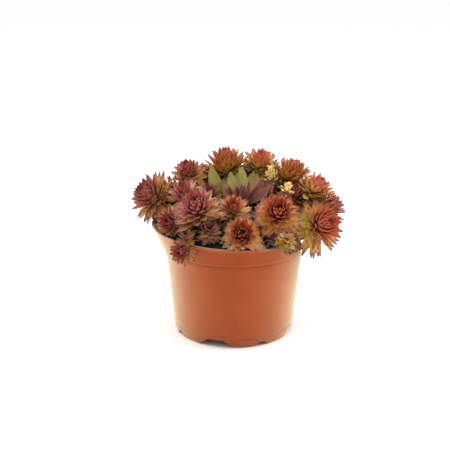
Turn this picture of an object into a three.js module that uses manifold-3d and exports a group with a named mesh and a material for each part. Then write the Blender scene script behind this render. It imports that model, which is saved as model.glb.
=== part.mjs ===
// A cushion of dark red houseleek rosettes in a thin terracotta-coloured plastic pot.
// Millimetres, +Z up. The pot stands on z = 0 and its front looks along -Y.
import * as THREE from 'three';
import { mergeVertices } from 'three/addons/utils/BufferGeometryUtils.js';
import Module from 'manifold-3d';

const wasm = await Module();
wasm.setup();
const radians = THREE.MathUtils.degToRad;

// Driving dimensions of the pot: a 12 cm growing pot, its soft rim pulled out and up on the left.
const POT = {
  height: 87,
  rimRadius: 60,
  rimEdge: 1.2,
  rimEdgeStep: 0.7,
  rimEdgeRise: 0.4,
  bandFoot: 73.5,
  bandStep: 0.9,
  bandRise: 0.6,
  bandRadius: 57.5,
  footRadius: 49.8,
  footChamfer: 0.8,
  footWidth: 5,
  wall: 1.2,
  lip: 1.9,
  floorUnderside: 7,
  sides: 40,
};
const RIM_PULL = { from: 64, left: 6.5, widen: 0.042, narrow: 0.008, tilt: 0.075, ease: 1.5 };
const WIDE_NOTCH = { height: 6.2, topHalfAngle: 7.5, footHalfAngle: 17.5, firstAt: -107.7 };
const NARROW_NOTCH = { height: 3.4, topHalfAngle: 3.2, footHalfAngle: 6.8, firstAt: -62.7 };
const DRAIN = { radius: 4.2, ring: 36, sides: 12 };

// The peat stands a little under the rim and is heaped towards the middle.
const SOIL = {
  underRim: 2.6,
  crown: 99.5,
  level: 12,
  heapFoot: 52,
  steepness: 1.3,
  gap: 0.35,
  lump: 0.9,
  rings: [51, 41, 28, 14],
};

// Stems stand upright in plain holes in the peat, below their plants but nearer the middle of the pot.
const STEM = {
  radius: 1.6,
  depth: 8,
  upright: 1,
  holeGap: 0.4,
  sides: 5,
  inward: 0.62,
  apart: 7,
  farthest: 45,
  rounds: 60,
  bow: 0.4,
};

// Room kept between a leaf and the planes between plants, other stems, the rim and the peat.
// The planes cut the line between two plants a little above their bases, and only near plants count.
const CLEAR = { plant: 0.35, stem: 0.85, rim: 0.8, side: 1.2, soil: 1.2, planeAt: 0.25, near: 75 };

// Where the pot's axis stands in the part's frame, so that the whole part is centred on its origin.
const POT_AXIS = new THREE.Vector3(-1.5, -5.3, 0);

// The short crown that the leaves grow from, in shares of the reach. Its bud is the plant's heart.
const GOLDEN_ANGLE = radians(137.508);
const CROWN = {
  radius: 0.24,
  narrowing: 0.6,
  under: -0.16,
  skirt: -0.08,
  rise: 0.46,
  bud: 0.5,
  heart: 0.5,
};

// A leaf, in shares of the reach, and how it stands, in degrees. Inner leaves are shorter and steeper.
const LEAF = {
  length: 0.9,
  halfWidth: 0.2,
  dish: 0.15,
  lowest: -46,
  highest: 74,
  steepening: 1.1,
  curl: 26,
  innerCurl: 8,
  sway: 0.12,
};
const INNER_LEAF = { length: 0.58, width: 0.5 };
const LEAF_NEAR = { at: 0.34, width: 0.8, keel: 0.62 };
const LEAF_FAR = { at: 0.64, width: 1, keel: 0.5 };

// Each leaf takes the first of these lengths and widths that finds room, and low leaves rise to find it.
const LEAF_FITS = [[1, 1], [1, 0.75], [0.85, 0.8], [0.85, 0.6], [0.7, 0.7], [0.7, 0.5], [0.55, 0.55]];
const LIFTS = [0, 10, 20, 30, 40, 50, 60, 70, 80, 90];
const LIFT_SECTORS = 16;
const LOW_LEAF = { layer: 0.1, shorten: 0.85 };

const WINE = 0x8a3b3f;
const EMBER = 0xb8612a;
const OLIVE = 0x83873f;
const STRAW = 0xcdb25f;
const TERRACOTTA = 0xb65a32;
const PEAT = 0x1f1b17;

// A plant's name, colour, heart from the pot's axis, the way it faces, its reach and its number of leaves.
function plantOf(name, colour, heart, face, reach, leaves, habit = {}) {
  return { name, colour, heart, face, reach, leaves, ...habit };
}

const PLANTS = [
  plantOf('rosette_mother', OLIVE, [4, 9, 123], [-0.05, -0.2, 1], 32, 30, { lowest: 28 }),
  plantOf('rosette_far_left', WINE, [-74, 5, 117], [-0.6, -0.5, 0.65], 22.5, 34),
  plantOf('rosette_upper_left', WINE, [-40, 22, 134], [-0.2, -0.35, 0.9], 18, 30),
  plantOf('rosette_top_left', EMBER, [-7, 36, 139], [-0.1, -0.05, 1], 19.5, 28),
  plantOf('rosette_top_right', EMBER, [23, 36, 138], [0.1, -0.3, 0.95], 16, 24),
  plantOf('rosette_right_top', EMBER, [51, 28, 131], [0.35, 0, 0.93], 19, 28),
  plantOf('rosette_right', EMBER, [71, 12, 121], [0.6, -0.15, 0.8], 16, 24),
  plantOf('rosette_far_right', WINE, [84, 8, 105], [0.85, -0.1, 0.5], 15.5, 22),
  plantOf('rosette_front_far_right', EMBER, [76, -17, 97], [0.6, -0.65, 0.4], 24, 34),
  plantOf('rosette_front_right', EMBER, [35, -37, 114], [0.05, -0.75, 0.65], 21, 34),
  plantOf('rosette_front_middle', EMBER, [6, -53, 100], [0, -0.9, 0.43], 18, 32),
  plantOf('rosette_front_left', WINE, [-31, -35, 119], [-0.15, -0.7, 0.68], 23, 36),
  plantOf('rosette_left_low', WINE, [-53, -33, 103], [-0.4, -0.75, 0.5], 16, 28),
  plantOf('rosette_over_rim', WINE, [-42, -62, 87], [-0.3, -0.9, 0.15], 12.5, 24, { hangs: 1.35 }),
  plantOf('rosette_middle', WINE, [-1, -25, 114], [0, -0.6, 0.8], 17, 20),
  plantOf('rosette_left_inner', WINE, [-42, -6, 122], [-0.2, -0.4, 0.9], 17, 20),
  plantOf('rosette_front_pale', OLIVE, [41, -50, 97], [0.15, -0.8, 0.3], 10, 14),
  plantOf('rosette_front_shaded', WINE, [-18, -48, 98], [-0.15, -0.85, 0.45], 13, 18),
  plantOf('rosette_back_upper_left', EMBER, [-26, 48, 124], [-0.25, 0.5, 0.85], 19, 24),
  plantOf('rosette_back_upper_right', WINE, [38, 52, 121], [0.2, 0.55, 0.8], 20, 24),
  plantOf('rosette_back_left', EMBER, [-62, 33, 114], [-0.6, 0.4, 0.7], 21, 26),
  plantOf('rosette_back_middle', WINE, [4, 62, 113], [-0.05, 0.75, 0.65], 20, 26),
  plantOf('rosette_back_low_left', WINE, [-38, 66, 98], [-0.4, 0.8, 0.4], 17, 20),
  plantOf('rosette_back_low_right', EMBER, [30, 71, 96], [0.25, 0.85, 0.4], 16, 20),
  plantOf('rosette_back_right', EMBER, [63, 44, 110], [0.6, 0.5, 0.6], 21, 26),
  plantOf('rosette_right_inner', WINE, [52, 6, 117], [0.1, -0.4, 0.9], 15, 18),
  plantOf('rosette_left_behind', WINE, [-20, 13, 119], [-0.1, -0.3, 0.9], 14, 18),
  plantOf('rosette_top_behind', WINE, [10, 37, 121], [0, -0.3, 0.9], 15, 18),
  plantOf('dry_shoot_back', STRAW, [31, 14, 131], [-0.1, -0.5, 0.9], 8, 7),
  plantOf('dry_shoot_front', STRAW, [44, -9, 126], [0.15, -0.6, 0.8], 7.5, 7),
];

// A small repeatable random source, so that the cushion grows alike each time.
function seededRandom(seed) {
  let state = seed >>> 0;
  return () => {
    state = (state + 0x6d2b79f5) >>> 0;
    let mixed = Math.imul(state ^ (state >>> 15), 1 | state);
    mixed = (mixed + Math.imul(mixed ^ (mixed >>> 7), 61 | mixed)) ^ mixed;
    return ((mixed ^ (mixed >>> 14)) >>> 0) / 4294967296;
  };
}

// Geometry to solid and back, so that pieces can be joined and cut.
function solidOf(geometry) {
  const bare = geometry.clone();
  bare.deleteAttribute('normal');
  bare.deleteAttribute('uv');
  const merged = mergeVertices(bare, 1e-4);
  return new wasm.Manifold(new wasm.Mesh({
    numProp: 3,
    vertProperties: merged.attributes.position.array,
    triVerts: new Uint32Array(merged.index.array),
  }));
}

function geometryOf(solid) {
  const mesh = solid.getMesh();
  const geometry = new THREE.BufferGeometry();
  geometry.setAttribute('position', new THREE.BufferAttribute(new Float32Array(mesh.vertProperties), 3));
  geometry.setIndex(new THREE.BufferAttribute(new Uint32Array(mesh.triVerts), 1));
  geometry.computeVertexNormals();
  return geometry;
}

// A closed skin over a row of rings with the same number of points, with a flat cap at each end.
function loft(rings) {
  const count = rings[0].length;
  const points = rings.flat();
  const faces = [];
  for (let i = 1; i < count - 1; i += 1) faces.push(0, i + 1, i);
  for (let r = 0; r < rings.length - 1; r += 1) {
    for (let i = 0; i < count; i += 1) {
      const a = r * count + i;
      const b = r * count + ((i + 1) % count);
      faces.push(a, b, b + count, a, b + count, a + count);
    }
  }
  const last = (rings.length - 1) * count;
  for (let i = 1; i < count - 1; i += 1) faces.push(last, last + i, last + i + 1);
  const geometry = new THREE.BufferGeometry().setFromPoints(points);
  geometry.setIndex(faces);
  return geometry;
}

// The pull on the soft rim: nothing below RIM_PULL.from, all of it at the rim and above.
function pullRim(point) {
  const height = (point.z - RIM_PULL.from) / (POT.height - RIM_PULL.from);
  const pull = THREE.MathUtils.clamp(height, 0, 1) ** RIM_PULL.ease;
  const x = point.x * (1 + RIM_PULL.widen * pull) - RIM_PULL.left * pull;
  const y = point.y * (1 - RIM_PULL.narrow * pull);
  return new THREE.Vector3(x, y, point.z - RIM_PULL.tilt * x * pull);
}

function pulled(geometry) {
  const position = geometry.attributes.position;
  const point = new THREE.Vector3();
  for (let i = 0; i < position.count; i += 1) {
    const moved = pullRim(point.fromBufferAttribute(position, i));
    position.setXYZ(i, moved.x, moved.y, moved.z);
  }
  return geometry;
}

// The outer radius of the plain cone under the rim band, at a height.
function wallRadius(z) {
  return POT.footRadius + (POT.bandRadius - POT.footRadius) * (z / POT.bandFoot);
}

// A lathe turned so that its axis is Z.
function turned(profile) {
  const geometry = new THREE.LatheGeometry(profile.map(([r, z]) => new THREE.Vector2(r, z)), POT.sides);
  return geometry.rotateX(Math.PI / 2);
}

function potShell() {
  const { height, rimRadius, rimEdge, rimEdgeStep, rimEdgeRise, bandFoot, bandStep, bandRise } = POT;
  const { footRadius, footChamfer, footWidth, wall, lip, floorUnderside } = POT;
  const innerAt = (z) => wallRadius(z) - wall;
  return pulled(turned([
    [0, floorUnderside],
    [footRadius - footWidth - 2, floorUnderside],
    [footRadius - footWidth, 0],
    [footRadius - footChamfer, 0],
    [wallRadius(footChamfer), footChamfer],
    [wallRadius(RIM_PULL.from), RIM_PULL.from],
    [wallRadius(bandFoot), bandFoot],
    [wallRadius(bandFoot) + bandStep, bandFoot + bandRise],
    [rimRadius - rimEdgeStep, height - rimEdge - rimEdgeRise],
    [rimRadius, height - rimEdge],
    [rimRadius, height],
    [rimRadius - lip, height],
    [innerAt(bandFoot), bandFoot],
    [innerAt(RIM_PULL.from), RIM_PULL.from],
    [innerAt(floorUnderside + wall), floorUnderside + wall],
    [0, floorUnderside + wall],
  ]));
}

// A trapezoid run out through the foot ring, to leave a notch between two feet.
function notchCutter(notch, angle) {
  const halfTop = POT.footRadius * Math.tan(radians(notch.topHalfAngle));
  const halfFoot = POT.footRadius * Math.tan(radians(notch.footHalfAngle));
  const below = 2;
  const halfBelow = halfFoot + (below * (halfFoot - halfTop)) / notch.height;
  const outline = new THREE.Shape([
    new THREE.Vector2(-halfBelow, -below),
    new THREE.Vector2(halfBelow, -below),
    new THREE.Vector2(halfTop, notch.height),
    new THREE.Vector2(-halfTop, notch.height),
  ]);
  const reach = 6 * POT.footWidth;
  const cutter = new THREE.ExtrudeGeometry(outline, { depth: reach, bevelEnabled: false });
  cutter.rotateX(Math.PI / 2).translate(0, POT.footRadius + 0.4 * reach, 0);
  return cutter.rotateZ(radians(angle) - Math.PI / 2);
}

function drainCutter(angle) {
  const drain = new THREE.CylinderGeometry(DRAIN.radius, DRAIN.radius, 10 * POT.wall, DRAIN.sides);
  drain.rotateX(Math.PI / 2).translate(DRAIN.ring, 0, POT.floorUnderside);
  return drain.rotateZ(radians(angle));
}

function pot() {
  let solid = solidOf(potShell());
  for (const quarter of [0, 90, 180, 270]) {
    for (const cutter of [
      notchCutter(WIDE_NOTCH, WIDE_NOTCH.firstAt + quarter),
      notchCutter(NARROW_NOTCH, NARROW_NOTCH.firstAt + quarter),
      drainCutter(WIDE_NOTCH.firstAt + quarter),
    ]) solid = solid.subtract(solidOf(cutter));
  }
  return solid;
}

// Height of the peat at a distance from the pot's axis, before the rim's pull.
function soilHeight(radius) {
  const edge = POT.height - SOIL.underRim;
  const share = THREE.MathUtils.clamp((SOIL.heapFoot - radius) / (SOIL.heapFoot - SOIL.level), 0, 1);
  return edge + (SOIL.crown - edge) * share ** SOIL.steepness;
}

function soilLump(x, y) {
  return SOIL.lump * (Math.sin(x * 0.31 + 1.3) * Math.cos(y * 0.27) + 0.6 * Math.sin(x * 0.57 - y * 0.49));
}

// Height of the finished peat surface over any spot.
function soilSurface(x, y) {
  const unpulled = (x + RIM_PULL.left) / (1 + RIM_PULL.widen);
  return soilHeight(Math.hypot(unpulled, y)) + soilLump(x, y) - RIM_PULL.tilt * x;
}

function soil() {
  const edge = POT.height - SOIL.underRim;
  const bandInner = wallRadius(POT.bandFoot) - POT.wall;
  const upBand = (edge - POT.bandFoot) / (POT.height - POT.bandFoot);
  const edgeRadius = THREE.MathUtils.lerp(bandInner, POT.rimRadius - POT.lip, upBand) - SOIL.gap;
  const bottom = POT.floorUnderside + POT.wall + SOIL.gap;
  const inner = (z) => wallRadius(z) - POT.wall - SOIL.gap;
  const geometry = pulled(turned([
    [0, bottom],
    [inner(bottom), bottom],
    [inner(RIM_PULL.from), RIM_PULL.from],
    [inner(POT.bandFoot), POT.bandFoot],
    [edgeRadius, edge],
    ...SOIL.rings.map((radius) => [radius, soilHeight(radius)]),
    [0, soilHeight(0)],
  ]));
  const position = geometry.attributes.position;
  for (let i = 0; i < position.count; i += 1) {
    const [x, y, z] = [position.getX(i), position.getY(i), position.getZ(i)];
    const inside = Math.hypot(x + RIM_PULL.left, y) < SOIL.rings[0] + RIM_PULL.left / 2;
    if (inside && z > POT.bandFoot + SOIL.underRim) position.setZ(i, z + soilLump(x, y));
  }
  return solidOf(geometry);
}

// The middle of a plant's crown, below its heart.
function baseOf({ heart, face, reach }) {
  return new THREE.Vector3(...face).setLength(-CROWN.heart * reach).add(new THREE.Vector3(...heart));
}

// Where the stems stand in the peat: under their plants, pushed apart and kept off the pot's wall.
function plantFeet() {
  const feet = PLANTS.map((plant) => baseOf(plant).setZ(0).multiplyScalar(STEM.inward));
  for (let round = 0; round < STEM.rounds; round += 1) {
    for (const foot of feet) {
      foot.clampLength(0, STEM.farthest);
      for (const other of feet) {
        const apart = other.clone().sub(foot);
        const distance = apart.length();
        if (other !== foot && distance < STEM.apart) {
          apart.setLength((STEM.apart - distance) / 2);
          foot.sub(apart);
          other.add(apart);
        }
      }
    }
  }
  return feet;
}

// A plant's fixed points: its axis, where its leaves start, and the stem from the peat up to there.
function setOut(plant, foot) {
  const axis = new THREE.Vector3(...plant.face).normalize();
  const base = baseOf(plant);
  const ground = soilSurface(foot.x, foot.y);
  const bottom = foot.clone().setZ(ground - STEM.depth);
  const collar = foot.clone().setZ(ground + STEM.upright);
  const bow = collar.distanceTo(base) * STEM.bow;
  const lean = axis.clone().multiplyScalar(-bow);
  if (plant.hangs) lean.set(0, 0, plant.hangs * bow);
  const above = collar.clone().setZ(collar.z + bow);
  const climb = new THREE.CubicBezierCurve3(collar, above, lean.add(base), base);
  return { ...plant, axis, base, foot, ground, bottom, climb, stem: climb.getPoints(12) };
}

// The plane between two plants, shared out by their reach.
function boundary(plant, other) {
  const [from, to] = [plant, other].map(({ base, axis, reach }) => base.clone()
    .addScaledVector(axis, CLEAR.planeAt * reach));
  const middle = from.clone().lerp(to, plant.reach / (plant.reach + other.reach));
  return { middle, normal: to.sub(from).normalize() };
}

// Rings of points round a path, for a stem that ends inside its plant's crown.
function stemSolid(plant) {
  const path = [plant.bottom, ...plant.climb.getPoints(4)];
  const rings = path.map((point, i) => {
    const way = path[Math.min(i + 1, path.length - 1)].clone().sub(path[Math.max(i - 1, 0)]).normalize();
    if (i < 2) way.set(0, 0, 1);
    const across = new THREE.Vector3(way.z, 0, -way.x).normalize();
    const beside = way.clone().cross(across);
    return Array.from({ length: STEM.sides }, (_, k) => {
      const turn = (2 * Math.PI * k) / STEM.sides;
      return point.clone()
        .addScaledVector(across, STEM.radius * Math.cos(turn))
        .addScaledVector(beside, STEM.radius * Math.sin(turn));
    });
  });
  return solidOf(loft(rings));
}

// Turns a rosette's own frame, with its axis on Z, to the way the plant faces.
function placement(plant) {
  const turn = new THREE.Quaternion().setFromUnitVectors(new THREE.Vector3(0, 0, 1), plant.axis);
  return new THREE.Matrix4().compose(plant.base, turn, new THREE.Vector3(1, 1, 1));
}

// A point of the crown's lattice, in the rosette's own frame.
function crownPoint(plant, k) {
  const share = k / (plant.leaves + 7);
  const radius = CROWN.radius * Math.cos(0.45 * Math.PI * share) ** CROWN.narrowing;
  const height = CROWN.skirt + CROWN.rise * share;
  return new THREE.Vector3(radius * Math.cos(k * GOLDEN_ANGLE), radius * Math.sin(k * GOLDEN_ANGLE), height)
    .multiplyScalar(plant.reach);
}

// The free part of one leaf: two rings of keel, right edge and left edge, then the tip.
// layer runs from 0, the lowest leaf, to 1 beside the bud, and lift raises the low leaves out of the way.
function leafShape(plant, root, { layer, azimuth, lift, shorten, slim = 1 }) {
  const { lerp } = THREE.MathUtils;
  const lowest = (plant.lowest ?? LEAF.lowest) + lift;
  const start = radians(lerp(lowest, LEAF.highest, layer ** LEAF.steepening));
  const curl = radians(lerp(LEAF.curl, LEAF.innerCurl, layer));
  const length = plant.reach * LEAF.length * lerp(1, INNER_LEAF.length, layer) * shorten;
  const halfWidth = plant.reach * LEAF.halfWidth * lerp(1, INNER_LEAF.width, layer) * slim;
  const out = new THREE.Vector3(Math.cos(azimuth), Math.sin(azimuth), 0);
  const side = new THREE.Vector3(-out.y, out.x, 0);
  const up = new THREE.Vector3(0, 0, 1);
  const spine = (s) => {
    const angle = start + (curl * s) / 2;
    return out.clone().multiplyScalar(Math.cos(angle)).addScaledVector(up, Math.sin(angle))
      .multiplyScalar(length * s).add(root);
  };
  const ring = ({ at, width, keel }) => {
    const angle = start + curl * at;
    const inward = out.clone().multiplyScalar(-Math.sin(angle)).addScaledVector(up, Math.cos(angle));
    const edge = (way) => spine(at).addScaledVector(side, way * width * halfWidth)
      .addScaledVector(inward, LEAF.dish * width * halfWidth);
    return [spine(at).addScaledVector(inward, -keel * halfWidth), edge(1), edge(-1)];
  };
  return { rings: [ring(LEAF_NEAR), ring(LEAF_FAR)], tip: spine(1) };
}

// Distance from a point to a plant's stem.
function stemDistance(point, plant) {
  const line = new THREE.Line3();
  const nearest = new THREE.Vector3();
  let least = Infinity;
  for (let i = 0; i < plant.stem.length - 1; i += 1) {
    line.set(plant.stem[i], plant.stem[i + 1]).closestPointToPoint(point, true, nearest);
    least = Math.min(least, nearest.distanceTo(point));
  }
  return least;
}

// True where a point is clear of the pot's rim and of the peat.
function clearOfPot(point) {
  const unpulled = (point.x + RIM_PULL.left) / (1 + RIM_PULL.widen);
  const ring = Math.hypot(unpulled, point.y / (1 - RIM_PULL.narrow));
  const rimTop = POT.height - RIM_PULL.tilt * point.x;
  if (ring > POT.rimRadius + CLEAR.side) return true;
  if (ring > POT.rimRadius - POT.lip - CLEAR.side) return point.z > rimTop + CLEAR.rim;
  return point.z > soilSurface(point.x, point.y) + CLEAR.soil;
}

function isClear(point, others) {
  return clearOfPot(point)
    && others.every(({ middle, normal }) => point.clone().sub(middle).dot(normal) < -CLEAR.plant)
    && others.every(({ plant: other }) => stemDistance(point, other) > STEM.radius + CLEAR.stem);
}

// Points spread over a leaf, to test it for room.
function leafProbes(root, { rings, tip }) {
  const [near, far] = rings;
  const probes = [tip, ...near, ...far].map((point) => point.clone());
  for (let i = 0; i < 3; i += 1) {
    probes.push(near[i].clone().lerp(far[i], 0.5), root.clone().lerp(near[i], 0.6));
    for (const share of [0.33, 0.66]) probes.push(far[i].clone().lerp(tip, share));
  }
  return probes;
}

// How far the low leaves of a plant have to rise, in degrees, by the direction that they grow in.
function roomAround(plant, others, place) {
  const lifts = Array.from({ length: LIFT_SECTORS }, (_, sector) => {
    const azimuth = (2 * Math.PI * sector) / LIFT_SECTORS;
    const root = new THREE.Vector3(Math.cos(azimuth), Math.sin(azimuth), 0)
      .multiplyScalar(CROWN.radius * plant.reach);
    const roomy = (lift) => leafProbes(root, leafShape(plant, root, { ...LOW_LEAF, azimuth, lift }))
      .every((point) => isClear(point.applyMatrix4(place), others));
    return LIFTS.find(roomy) ?? LIFTS.at(-1);
  });
  return (azimuth) => {
    const turns = THREE.MathUtils.euclideanModulo(azimuth / (2 * Math.PI), 1) * LIFT_SECTORS;
    const sector = Math.floor(turns);
    const next = (sector + 1) % LIFT_SECTORS;
    return THREE.MathUtils.lerp(lifts[sector % LIFT_SECTORS], lifts[next], turns - sector);
  };
}

// Faces with their edges and box, ready to be tested against another skin.
function skinOf(faces) {
  const edges = faces.flatMap(([a, b, c]) => [[a, b], [b, c], [c, a]]);
  return { faces, edges, box: new THREE.Box3().setFromPoints(faces.flat()) };
}

// The faces of a leaf that stands on its root ring.
function leafFaces(rootRing, { rings: [near, far], tip }) {
  const faces = [];
  for (let i = 0; i < 3; i += 1) {
    const j = (i + 1) % 3;
    faces.push([rootRing[i], rootRing[j], near[j]], [rootRing[i], near[j], near[i]]);
    faces.push([near[i], near[j], far[j]], [near[i], far[j], far[i]]);
    faces.push([far[i], far[j], tip]);
  }
  return faces;
}

// True where an edge of one skin runs through a face of the other that doesn't share a corner with it.
function pierces(skin, other) {
  const ray = new THREE.Ray();
  const hit = new THREE.Vector3();
  return skin.edges.some(([from, to]) => {
    const length = from.distanceTo(to);
    ray.set(from, to.clone().sub(from).divideScalar(length));
    return other.faces.some((face) => !face.includes(from) && !face.includes(to)
      && ray.intersectTriangle(...face, false, hit) && hit.distanceTo(from) < length);
  });
}

function skinsCross(skin, other) {
  return skin.box.intersectsBox(other.box) && (pierces(skin, other) || pierces(other, skin));
}

// What shows of the crown between the leaves, with its underside and its bud.
function bareCrown(plant, lattice) {
  const under = new THREE.Vector3(0, 0, CROWN.under * plant.reach);
  const bud = new THREE.Vector3(0, 0, CROWN.bud * plant.reach);
  const faces = [];
  for (let k = 0; k < plant.leaves; k += 1) faces.push([lattice[k + 5], lattice[k + 3], lattice[k + 8]]);
  for (let i = 0; i < 8; i += 1) {
    const here = (3 * i) % 8;
    const next = (here + 3) % 8;
    faces.push([lattice[next], lattice[here], under]);
    faces.push([lattice[plant.leaves + here], lattice[plant.leaves + next], bud]);
  }
  return faces;
}

// A rosette as one skin: crown, bud and leaves. Leaf k grows from the triangle of lattice points k, k + 3
// and k + 5, its keel below and its edges above, and the triangles between the leaves stay bare crown.
function rosetteSkin(plant, others) {
  const place = placement(plant);
  const random = seededRandom(plant.leaves * 977 + Math.round(plant.reach * 31));
  const liftAt = roomAround(plant, others, place);
  const lattice = Array.from({ length: plant.leaves + 8 }, (_, k) => crownPoint(plant, k));
  const rootRings = lattice.slice(0, plant.leaves).map((low, k) => [low, lattice[k + 3], lattice[k + 5]]);
  const bare = bareCrown(plant, lattice);
  const grown = [];
  const faces = [...bare];
  for (const [k, rootRing] of rootRings.entries()) {
    const layer = k / (plant.leaves - 1);
    const crown = skinOf([...bare, ...rootRings.filter((ring) => ring !== rootRing)]);
    const root = rootRing.reduce((sum, point) => sum.addScaledVector(point, 1 / 3), new THREE.Vector3());
    const azimuth = Math.atan2(root.y, root.x) + (random() - 0.5) * LEAF.sway;
    const fits = LEAF_FITS.map(([shorten, width]) => {
      const slim = width * Math.sqrt(shorten);
      const shape = leafShape(plant, root, { layer, azimuth, lift: liftAt(azimuth), shorten, slim });
      return { skin: skinOf(leafFaces(rootRing, shape)), probes: leafProbes(root, shape) };
    });
    const hasRoom = ({ probes }) => probes.every((point) => isClear(point.applyMatrix4(place), others));
    const crosses = ({ skin }) => pierces(skin, skin)
      || [crown, ...grown].some((other) => skinsCross(skin, other));
    const leaf = fits.find((fit) => hasRoom(fit) && !crosses(fit));
    if (leaf) grown.push(leaf.skin);
    faces.push(...(leaf ? leaf.skin.faces : [rootRing]));
  }
  return new THREE.BufferGeometry().setFromPoints(faces.flat()).applyMatrix4(place);
}

function rosette(plant, all) {
  const near = all.filter((other) => other !== plant && other.base.distanceTo(plant.base) < CLEAR.near);
  const others = near.map((other) => ({ plant: other, ...boundary(plant, other) }));
  return solidOf(rosetteSkin(plant, others)).add(stemSolid(plant));
}

// A six-sided hole that a stem stands in, run well above the peat.
function stemHole({ foot, ground }) {
  const radius = (STEM.radius + STEM.holeGap) / Math.cos(Math.PI / 6);
  const height = 2 * STEM.depth;
  const hole = new THREE.CylinderGeometry(radius, radius, height, 6).rotateX(Math.PI / 2);
  return hole.translate(foot.x, foot.y, ground - STEM.depth - STEM.holeGap + height / 2);
}

function meshOf(name, solid, colour, roughness) {
  const material = new THREE.MeshStandardMaterial({ color: colour, roughness, flatShading: true });
  const mesh = new THREE.Mesh(geometryOf(solid), material);
  mesh.name = name;
  return mesh;
}

const feet = plantFeet();
const plants = PLANTS.map((plant, i) => setOut(plant, feet[i]));
const drilledSoil = plants.reduce((solid, plant) => solid.subtract(solidOf(stemHole(plant))), soil());

const pottedHouseleek = new THREE.Group();
pottedHouseleek.name = 'potted_houseleek';
pottedHouseleek.position.copy(POT_AXIS);
pottedHouseleek.add(meshOf('pot', pot(), TERRACOTTA, 0.45));
pottedHouseleek.add(meshOf('soil', drilledSoil, PEAT, 0.95));
for (const plant of plants) {
  pottedHouseleek.add(meshOf(plant.name, rosette(plant, plants), plant.colour, 0.6));
}

export default pottedHouseleek;
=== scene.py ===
import math
import random

import bpy
import numpy as np
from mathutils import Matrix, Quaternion, Vector, noise


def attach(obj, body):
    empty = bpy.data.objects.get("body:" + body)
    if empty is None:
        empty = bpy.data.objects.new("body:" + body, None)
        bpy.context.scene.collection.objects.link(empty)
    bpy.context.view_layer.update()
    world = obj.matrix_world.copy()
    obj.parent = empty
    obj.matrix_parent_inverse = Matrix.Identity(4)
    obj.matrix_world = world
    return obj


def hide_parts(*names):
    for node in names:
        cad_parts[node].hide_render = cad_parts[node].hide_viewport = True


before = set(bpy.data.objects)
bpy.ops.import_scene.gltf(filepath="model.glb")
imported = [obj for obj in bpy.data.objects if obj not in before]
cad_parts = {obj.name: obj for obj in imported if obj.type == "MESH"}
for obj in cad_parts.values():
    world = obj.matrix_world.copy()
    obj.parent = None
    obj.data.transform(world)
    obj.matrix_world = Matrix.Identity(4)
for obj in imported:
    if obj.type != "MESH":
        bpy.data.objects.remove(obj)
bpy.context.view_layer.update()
bpy.ops.object.select_all(action="DESELECT")


# The growing pot: one thin shell of terracotta-coloured polypropylene, injection moulded, with a raised
# floor on a notched foot ring and four drain holes. Lifting has pulled its soft rim out and up on the left.
POT_AXIS = np.array((-0.0015, -0.0053, 0.0))
POT_HEIGHT, RIM_RADIUS, LIP = 0.087, 0.060, 0.0019
BAND_FOOT, BAND_RADIUS, BAND_STEP = 0.0735, 0.0575, 0.0010
FOOT_RADIUS, FOOT_WIDTH = 0.0498, 0.005
FLOOR_UNDERSIDE, WALL = 0.007, 0.0012
PULL_FROM, PULL_LEFT, PULL_WIDEN, PULL_NARROW, PULL_TILT = 0.064, 0.0065, 0.042, 0.008, 0.075
WIDE_NOTCH = dict(height=0.0062, top=7.5, foot=17.5, first_at=-107.7)
NARROW_NOTCH = dict(height=0.0034, top=3.2, foot=6.8, first_at=-62.7)
DRAIN_RADIUS, DRAIN_RING = 0.0042, 0.036
POT_SIDES, DRAIN_SIDES = 144, 28


def points_of(piece):
    flat = np.empty(len(piece.data.vertices) * 3, np.float32)
    piece.data.vertices.foreach_get("co", flat)
    return flat.reshape(-1, 3).astype(float)


def move_points(piece, points):
    piece.data.vertices.foreach_set("co", points.astype(np.float32).ravel())
    piece.data.update()


def note_on_points(piece, name, vectors):
    """Keeps three values on each point of a piece, for its material to read."""
    noted = piece.data.attributes.new(name, "FLOAT_VECTOR", "POINT")
    noted.data.foreach_set("vector", vectors.astype(np.float32).ravel())


def pick(*pieces):
    """Selects these pieces alone and makes the first one active."""
    bpy.ops.object.select_all(action="DESELECT")
    for piece in pieces:
        piece.select_set(True)
    bpy.context.view_layer.objects.active = pieces[0]


def joined(name, pieces):
    """Several pieces made one, at the first one's origin."""
    pick(*pieces)
    bpy.ops.object.join()
    pieces[0].name = pieces[0].data.name = name
    return pieces[0]


def drawn_out(name, steps):
    """The active filled outline drawn out into a closed shell. Each step has its way, the share to which it
    widens or narrows, and the point that this starts from."""
    bpy.ops.object.mode_set(mode="EDIT")
    bpy.ops.mesh.select_all(action="SELECT")
    for way, share, middle in steps:
        bpy.ops.mesh.extrude_region_move(TRANSFORM_OT_translate={"value": way})
        bpy.ops.transform.resize(value=share, center_override=middle)
    bpy.ops.mesh.select_all(action="SELECT")
    bpy.ops.mesh.normals_make_consistent(inside=False)
    bpy.ops.object.mode_set(mode="OBJECT")
    piece = bpy.context.active_object
    piece.name = piece.data.name = name
    return piece


def turned_shell(name, rings, sides):
    """A closed shell about the Z axis, as if turned on a lathe, with a radius and a height for each ring."""
    first, low = rings[0]
    bpy.ops.mesh.primitive_circle_add(vertices=sides, radius=first, fill_type="NGON", location=(0, 0, low))
    bpy.ops.object.transform_apply()
    steps = []
    for (radius, height), (next_radius, next_height) in zip(rings, rings[1:]):
        share = next_radius / radius
        steps.append(((0, 0, next_height - height), (share, share, 1), (0, 0, next_height)))
    return drawn_out(name, steps)


def wall_radius(height):
    return FOOT_RADIUS + (BAND_RADIUS - FOOT_RADIUS) * height / BAND_FOOT


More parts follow.
